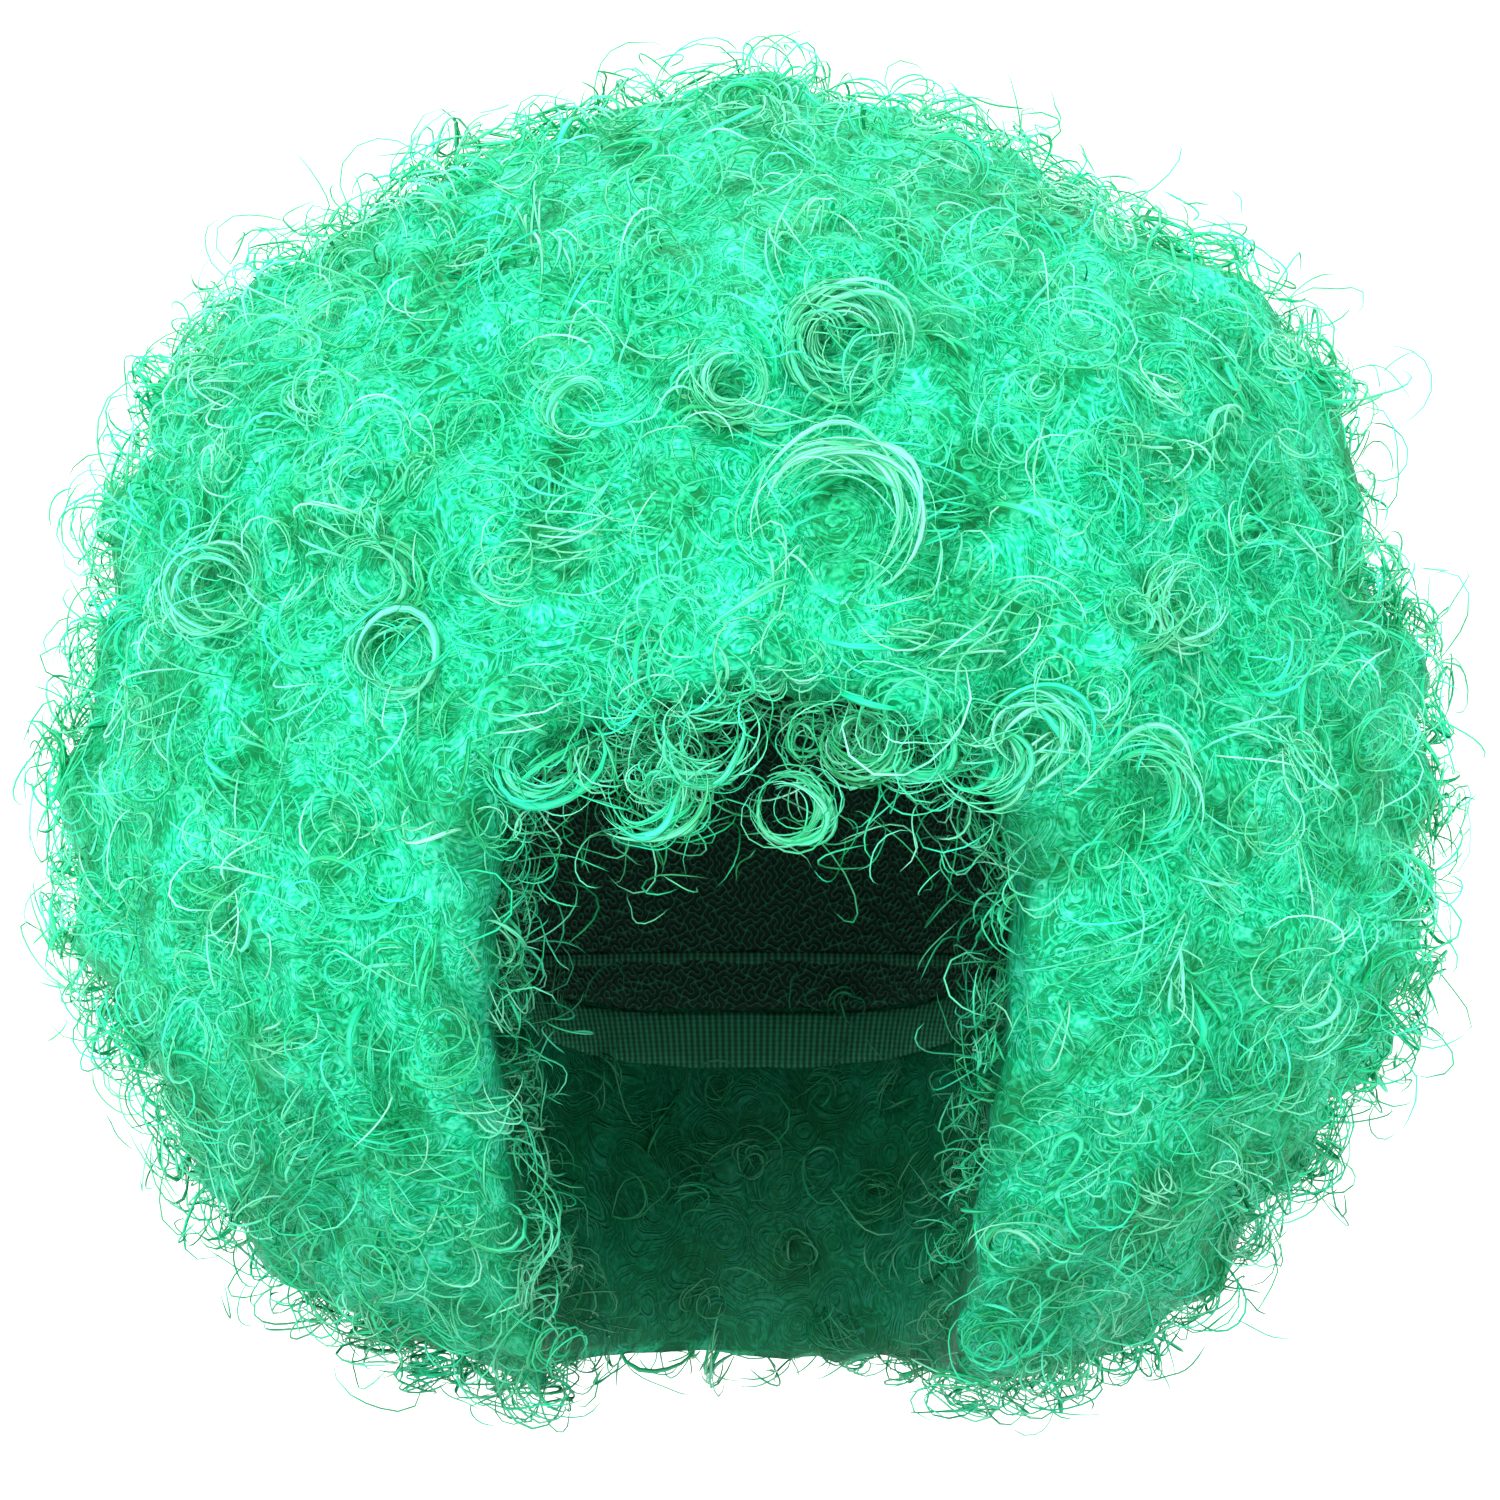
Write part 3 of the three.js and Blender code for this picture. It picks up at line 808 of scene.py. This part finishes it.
def wind(centre, axis, start, radius, turns, rise, draw, rings, wild=1.0):
    """Strands wound round axes, one to a row: their points and the way out from the axis."""
    t = np.linspace(0, 1, rings)[None, :]
    u, v = frames_round(axis)
    angle = start[:, None] + 2 * np.pi * turns[:, None] * t
    count = len(start)
    waves = between(0.8, 1.8, (count, 1)) * t + rng.random((count, 1))
    sway = 1 + 0.08 * wild * np.sin(2 * np.pi * waves)
    oval = 1 + 0.16 * wild * np.sin(2 * angle + between(0, 6.3, (count, 1)))
    reach = radius[:, None] * (1 - draw[:, None] * t) * sway * oval
    out = np.cos(angle)[..., None] * u[:, None] + np.sin(angle)[..., None] * v[:, None]
    wobble = 0.12 * wild * radius[:, None] * np.sin(angle + between(0, 6.3, (count, 1)))
    along = rise[:, None] * (t - 0.5) + wobble
    return centre[:, None] + reach[..., None] * out + along[..., None] * axis[:, None], out


def facing_angle(axis, toward):
    """The angle at which a strand wound round axis lies toward a direction."""
    u, v = frames_round(axis)
    return np.arctan2(np.sum(v * toward, axis=1), np.sum(u * toward, axis=1))


def sweep(points, facing, section, width, height, taper):
    """The corners of a section carried along each strand, with its ridge to the way it faces."""
    tangent = unit(np.gradient(points, axis=1))
    up = unit(facing - np.sum(facing * tangent, axis=2, keepdims=True) * tangent)
    side = np.cross(tangent, up)
    t = np.linspace(0, 1, points.shape[1])
    end = np.clip(np.minimum(t, 1 - t) / taper, 0.0, 1.0) ** 0.7
    end = np.maximum(end, 0.12)[None, :, None]
    half = width[:, None, None] / 2 * end
    lift = height[:, None, None] * end
    return np.stack([points + a * half * side + b * lift * up for a, b in section], axis=2)


def strand_mesh(name, groups):
    """One mesh of all strands, with a map along the fibres and one with a cell for each strand.
    A group holds the corners (strands, rings, corners, 3) and the shades (strands, rings, 3)."""
    count = sum(len(corners) for corners, _ in groups)
    columns = max(1, int(math.sqrt(count / 8)))
    lines = math.ceil(count / columns)
    coords, shades, loops, sizes, fibre, cells = [], [], [], [], [], []
    first_point = first_strand = 0
    for corners, shade in groups:
        number, rings, sides = corners.shape[:3]
        coords.append(corners.reshape(-1, 3))
        shades.append(np.repeat(shade.reshape(-1, 3), sides, axis=0))
        at = first_point + np.arange(number * rings * sides).reshape(number, rings, sides)
        after = np.roll(at, -1, axis=2)
        quads = np.stack([after[:, :-1], at[:, :-1], at[:, 1:], after[:, 1:]], axis=-1)
        loops.append(quads.reshape(-1))
        sizes.append(np.full(quads.size // 4, 4))

        step = np.linalg.norm(np.diff(corners[:, :, 0], axis=1), axis=2)
        along = np.concatenate([np.zeros((number, 1)), np.cumsum(step, axis=1)], axis=1)
        along = along + between(0, 40, (number, 1))
        middle = corners[:, rings // 2]
        girth = np.linalg.norm(np.roll(middle, -1, axis=1) - middle, axis=2)
        over = np.concatenate([np.zeros((number, 1)), np.cumsum(girth, axis=1)], axis=1)
        over_share = over / over[:, -1:]
        over = over + between(0, 4, (number, 1))
        shape = (number, rings - 1, sides, 4)
        near, far = along[:, :-1, None], along[:, 1:, None]
        low, high = over[:, None, :-1], over[:, None, 1:]
        fibre.append(corner_pairs(shape, (near, near, far, far), (high, low, low, high)))

        index = first_strand + np.arange(number)
        column, line = (index % columns)[:, None, None], (index // columns)[:, None, None]
        t = np.linspace(0, 1, rings)[None, :, None]
        near, far = ((column + 0.02 + 0.96 * x) / columns for x in (t[:, :-1], t[:, 1:]))
        low, high = (
            (line + 0.04 + 0.92 * x[:, None]) / lines for x in (over_share[:, :-1], over_share[:, 1:])
        )
        cells.append(corner_pairs(shape, (near, near, far, far), (high, low, low, high)))

        for ends, place in ((at[:, 0], 0.0), (at[:, -1, ::-1], 1.0)):
            loops.append(ends.reshape(-1))
            sizes.append(np.full(number, sides))
            fibre.append(np.zeros((ends.size, 2)))
            spot = (column[:, 0] + 0.02 + 0.96 * place) / columns
            rise = (line[:, 0] + 0.04 + 0.92 * over_share[:, :-1]) / lines
            cells.append(np.stack([np.broadcast_to(spot, rise.shape), rise], axis=-1).reshape(-1, 2))
        first_point += at.size
        first_strand += number
    coords, shades, loops, sizes, fibre, cells = map(
        np.concatenate, (coords, shades, loops, sizes, fibre, cells)
    )
    mesh = bpy.data.meshes.new(name)
    mesh.vertices.add(len(coords))
    mesh.vertices.foreach_set("co", coords.astype(np.float32).ravel())
    mesh.loops.add(len(loops))
    mesh.loops.foreach_set("vertex_index", loops.astype(np.int32))
    mesh.polygons.add(len(sizes))
    mesh.polygons.foreach_set("loop_start", (np.cumsum(sizes) - sizes).astype(np.int32))
    mesh.update(calc_edges=True)
    for map_name, values in (("Fibre", fibre), ("OFBake", cells)):
        layer = mesh.uv_layers.new(name=map_name)
        layer.data.foreach_set("uv", values.astype(np.float32).ravel())
    attribute = mesh.attributes.new("Shade", "FLOAT_COLOR", "POINT")
    rgba = np.concatenate([shades, np.ones((len(shades), 1))], axis=1)
    attribute.data.foreach_set("color", rgba.astype(np.float32).ravel())
    mesh.polygons.foreach_set("use_smooth", np.ones(len(sizes), bool))
    return mesh


def corner_pairs(shape, us, vs):
    """Map coordinates of the four corners of every face of a group."""
    pair = [np.stack([np.broadcast_to(x, shape[:3]) for x in side], axis=-1) for side in (us, vs)]
    return np.stack(pair, axis=-1).reshape(-1, 2)


def within_limits(points):
    low = np.array(cad_low) - STAND_PROUD
    high = np.array(cad_high) + STAND_PROUD
    return np.all((points > low) & (points < high), axis=(1, 2))


def lean_from(normals, tilt):
    """Directions that lean away from normals by tilt, each to its own side."""
    u, v = frames_round(normals)
    turn = between(0, 2 * np.pi, len(normals))
    lean = u * np.cos(turn)[:, None] + v * np.sin(turn)[:, None]
    return normals * np.cos(tilt)[:, None] + lean * np.sin(tilt)[:, None]


def shade_of(points, roots, normals, pale, dim):
    """Red is how far out a point lies, which the fibre's colour uses to paint shade deeper in the
    hair, green how pale its strand is, blue how much painted shade its place gets.
    """
    height = np.sum((points - roots[:, None]) * normals[:, None], axis=2)
    out = np.clip((height + 5 * MM) / (15 * MM), 0, 1)
    pale, dim = (np.broadcast_to(values[:, None], out.shape) for values in (pale, dim))
    return np.stack([out, pale, dim], axis=-1)


def share_out(strands, rows, corners, shade, good):
    """Hands each strand to the row it grows from."""
    for row in range(len(strands)):
        chosen = good & (rows == row)
        if chosen.any():
            strands[row].append((corners[chosen], shade[chosen]))


def add_bundle(strands, locks, kind):
    """Adds a number of strands to every lock, each a little off its fellows."""
    index = np.repeat(np.flatnonzero(locks["neat"] >= kind["neat"]), kind["each"])
    if kind["share"] < 1:
        index = index[rng.random(len(index)) < kind["share"]]
    count = len(index)
    root, normal, axis, is_flat, size, row, dim, tone = (
        locks[key][index] for key in ("root", "normal", "axis", "flat", "size", "row", "dim", "tone")
    )
    axis = unit(axis + rng.normal(0, kind["loose"], (count, 3)))
    radius = size * between(*kind["radius"], count)
    turn = between(*kind["turns"], count) * np.where(rng.random(count) < 0.5, 1, -1)
    lift = between(*kind["lift"], count) * MM
    centre = root + normal * lift[:, None]
    centre = centre - np.where(is_flat, 0.55, 0.0)[:, None] * radius[:, None] * normal
    centre = centre + rng.normal(0, kind["stray"], (count, 3)) * size[:, None]
    slide = rng.normal(0, 1, count) * np.where(is_flat, kind["slide"], 1.0) * MM
    centre = centre + axis * slide[:, None]
    start = np.where(
        is_flat,
        facing_angle(axis, normal) - np.pi * turn + rng.normal(0, 0.5, count),
        between(0, 2 * np.pi, count),
    )
    rise = between(*kind["rise"], count) * MM * np.where(is_flat, 2.0, 1.0)
    draw = between(*kind["draw"], count)
    points, out = wind(centre, axis, start, radius, turn, rise, draw, kind["rings"])
    facing = normal[:, None] * 0.8 + out * 0.6 + rng.normal(0, 0.12, (count, 1, 3))
    scale = size / (10 * MM) if kind["section"] is ROPE else np.ones(count)
    width = between(*kind["width"], count) * MM * scale
    height = between(*kind["height"], count) * MM * scale
    corners = sweep(points, facing, kind["section"], width, height, kind["taper"])
    pale = np.minimum((0.4 * kind["pale"] + rng.exponential(0.6 * kind["pale"], count)) * tone, 1)
    shade = shade_of(points, root, normal, pale, dim)
    share_out(strands, row, corners, shade, within_limits(points))


def add_placed(strands, row, surface, place, dim):
    """Adds one lock that is seen in the photo: a bundle of strands on one arc that faces forward.
    Angles run anticlockwise from the right, in turns."""
    x, z, radius, start, turns, breadth, ribbons, singles, lift, pale = place
    hit = surface.ray_cast(Vector((x * MM, -0.4, z * MM)), Vector((0, 1, 0)))
    root, normal = np.array(hit[0]), np.array(hit[1])
    front = np.array((0.0, -1.0, 0.0))
    axis = unit(normal * 0.35 + front * 0.65)
    for count, width, height, stray in (
        (int(1.3 * ribbons), (0.9, 2.1), (0.4, 0.8), 0.7),
        (int(1.5 * singles), (0.34, 0.54), (0.3, 0.45), 1.3),
    ):
        across = between(-0.5, 0.5, count)
        reach = (radius + across * breadth) * (1 + 0.12 * stray * between(-1, 1, count)) * MM
        up = lift + between(-0.3, 0.5, count) * min(breadth, 6.0) + 2.0 * np.cos(3.0 * across)
        centre = root + axis * up[:, None] * MM + rng.normal(0, stray, (count, 3)) * MM
        begin = (start + 0.5 + rng.normal(0, 0.08 * stray, count)) * 2 * np.pi
        turn = turns * between(0.45, 1.0, count)
        axes = unit(axis + rng.normal(0, 0.14 * stray, (count, 3)))
        points, out = wind(
            centre, axes, begin, reach, turn, between(-1, 1, count) * MM,
            between(-0.1, 0.2, count), 18, 0.7,
        )
        facing = axes[:, None] * 0.9 + out * 0.4
        wide, high = (between(*pair, count) * MM for pair in (width, height))
        corners = sweep(points, facing, RIBBON, wide, high, 0.4)
        shade = shade_of(
            points, np.tile(root, (count, 1)), np.tile(normal, (count, 1)),
            np.clip(rng.normal(0.7 * pale, 0.2, count), 0, 1), np.full(count, dim),
        )
        share_out(strands, np.full(count, row), corners, shade, within_limits(points))


def add_frizz(strands, locks, kind):
    """Adds single fine strands with no order."""
    count = int(len(locks["root"]) * kind["each"])
    index = rng.integers(0, len(locks["root"]), count)
    root = locks["root"][index] + rng.normal(0, 5, (count, 3)) * MM
    normal = locks["normal"][index]
    axis = unit(rng.normal(0, 1, (count, 3)))
    radius = between(*kind["radius"], count) * MM
    centre = root + normal * (between(*kind["lift"], count) * MM)[:, None]
    start = between(0, 2 * np.pi, count)
    turn = between(*kind["turns"], count)
    rise = between(-8, 8, count) * MM
    draw = between(-0.3, 0.4, count)
    points, out = wind(centre, axis, start, radius, turn, rise, draw, kind["rings"])
    width = between(*kind["width"], count) * MM
    corners = sweep(points, out + 0.01, RIBBON, width, width * 0.85, 0.2)
    pale = np.minimum(rng.exponential(0.3, count), 1)
    shade = shade_of(points, locks["root"][index], normal, pale, locks["dim"][index])
    share_out(strands, locks["row"][index], corners, shade, within_limits(points))


def finish_strands(name, nodes, groups, material):
    piece = bpy.data.objects.new(name, strand_mesh(name, groups))
    bpy.context.scene.collection.objects.link(piece)
    dress(piece, nodes, material)


def head_at(depth):
    """Half width, front and back length of the head's hollow at a depth in millimetres."""
    half_wide, half_long, high = HEAD_HALF
    if depth * MM < high:
        cos = 1 - depth * MM / high
        sin = math.sqrt(1 - cos * cos)
        return half_wide * sin, half_long * sin, half_long * sin
    draw = smooth_step((depth * MM - high) / NECK_FALL, *NECK_DRAWN)
    ends = zip((half_wide, half_long, half_long), NECK_HALF)
    return tuple(start + draw * (end - start) for start, end in ends)


def sewn_tracks():
    """The tracks inside the cap along which the rows are sewn, each one flat strand."""
    groups = []
    for depth in TRACK_DEPTHS:
        wide, front, back = head_at(depth)
        angle = np.linspace(-np.pi, np.pi, 361)
        y = np.where(np.cos(angle) > 0, back, front) * np.cos(angle)
        clear = np.interp(y / MM, RIM_PLACES, RIM_DEPTHS) - TRACK_CLEAR > depth
        reach = np.abs(angle[clear]).max()
        angle = np.linspace(-reach, reach, 73)
        inset = 1 - TRACK_INSET / wide
        points = np.stack([
            wide * inset * np.sin(angle),
            np.where(np.cos(angle) > 0, back, front) * inset * np.cos(angle),
            np.full(len(angle), -depth * MM),
        ], axis=-1)[None]
        inward = -points * (1, 1, 0)
        corners = sweep(points, unit(inward), ROPE, TRACK_WIDTH, TRACK_THICK, 0.02)
        groups.append((corners, np.zeros((1, len(angle), 3))))
    tape = woven_material("sewn_hair_track", "#05301f", "#0d5238", "#1c7a56")
    finish_strands("sewn_tracks", ["net_cap"], groups, tape)


make_camera()
make_stage()
make_lights()
fibre = fibre_material()
packed = packed_material()

smooth_copy("net_cap_knit", "net_cap", net_material())
smooth_copy(
    "edge_band_weave", "edge_band",
    woven_material("woven_elastic", "#0b4a33", "#176b4c", "#2a8f68"),
)
sewn_tracks()

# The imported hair, and the locks that stand on it
core_piece = packed_hair(packed)
core = triangles_of(core_piece)
tree = tree_of([core] + [triangles_of(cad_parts[name]) for name in ("net_cap", "edge_band")])
shade_packed(core_piece, tree)
roots, normals, rows, open_sky = root_places(core, tree)
is_flat = rng.random(len(roots)) < FLAT_SHARE
tilt = np.where(is_flat, between(1.15, 1.57, len(roots)), np.abs(rng.normal(0, 0.45, len(roots))))
locks = {
    "root": roots,
    "normal": normals,
    "row": rows,
    "flat": is_flat,
    "neat": rng.random(len(roots)),
    "axis": lean_from(normals, tilt),
    "size": between(6.0, 12.0, len(roots)) * MM * np.where(open_sky, 1.0, 0.75),
    "dim": shaded(roots, open_sky),
    "tone": rng.uniform(0, 1, len(roots)) ** 2 * 3.2,
}
strands = [[] for _ in HAIR_ROWS]
for kind in LOCK_PARTS:
    add_bundle(strands, locks, kind)
add_frizz(strands, locks, FRIZZ)
at_face = ~open_sky & (roots[:, 1] < FACE_EDGE)
add_frizz(strands, {key: values[at_face] for key, values in locks.items()}, FACE_FRIZZ)

# The outside as one surface, for locks that are placed
surface = tree_of([core, triangles_of(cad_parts["fringe_curls"])])
for node, place in PLACED_LOCKS:
    add_placed(strands, HAIR_ROWS.index(node), surface, place, 0.0)

# The fringe: small locks, rings placed from the photo and loose frizz
fringe = [[]]
fringe_roots, fringe_normals = [], []
for (left, right), (top, bottom), wanted in FRINGE_AREAS:
    placed = 0
    while placed < wanted:
        x = rng.uniform(left, right)
        z = rng.uniform(bottom, top) - FRINGE_DROOP * (x / 60) ** 2
        hit = surface.ray_cast(Vector((x * MM, -0.4, z * MM)), Vector((0, 1, 0)), 0.36)
        if hit[0] is not None and hit[0].y < -0.08:
            fringe_roots.append(np.array(hit[0]) + (0, 0.006, 0))
            fringe_normals.append(unit(np.array((x * MM, -0.12, -0.02))))
            placed += 1
count = len(fringe_roots)
# The fringe's locks, rings and loose strands get a little painted shade: dim values of 0.1 to 0.2
fringe_locks = {
    "root": np.array(fringe_roots),
    "normal": np.array(fringe_normals),
    "row": np.zeros(count, int),
    "flat": rng.random(count) < FLAT_SHARE,
    "neat": rng.random(count),
    "axis": lean_from(np.array(fringe_normals), np.abs(rng.normal(0, 0.5, count))),
    "size": between(5.0, 9.0, count) * MM,
    "dim": np.full(count, 0.2),
    "tone": between(0.2, 1.8, count),
}
for kind in LOCK_PARTS:
    add_bundle(fringe, fringe_locks, kind)
add_frizz(fringe, fringe_locks, FRINGE_FRIZZ)
for place in FRINGE_PLACED:
    add_placed(fringe, 0, surface, place, 0.1)
loose_roots = np.stack([between(*side, FRINGE_LOOSE) for side in LOOSE_AREA], axis=-1) * MM
loose_locks = {
    "root": loose_roots,
    "normal": np.tile((0.0, -1.0, 0.0), (FRINGE_LOOSE, 1)),
    "row": np.zeros(FRINGE_LOOSE, int),
    "dim": np.full(FRINGE_LOOSE, 0.15),
}
add_frizz(fringe, loose_locks, {**FRINGE_FRIZZ, "each": 1})

finish_strands("fringe_curls_strands", ["fringe_curls"], fringe[0], fibre)
for node, groups in zip(HAIR_ROWS, strands):
    finish_strands(f"{node}_curls", [node], groups, fibre)
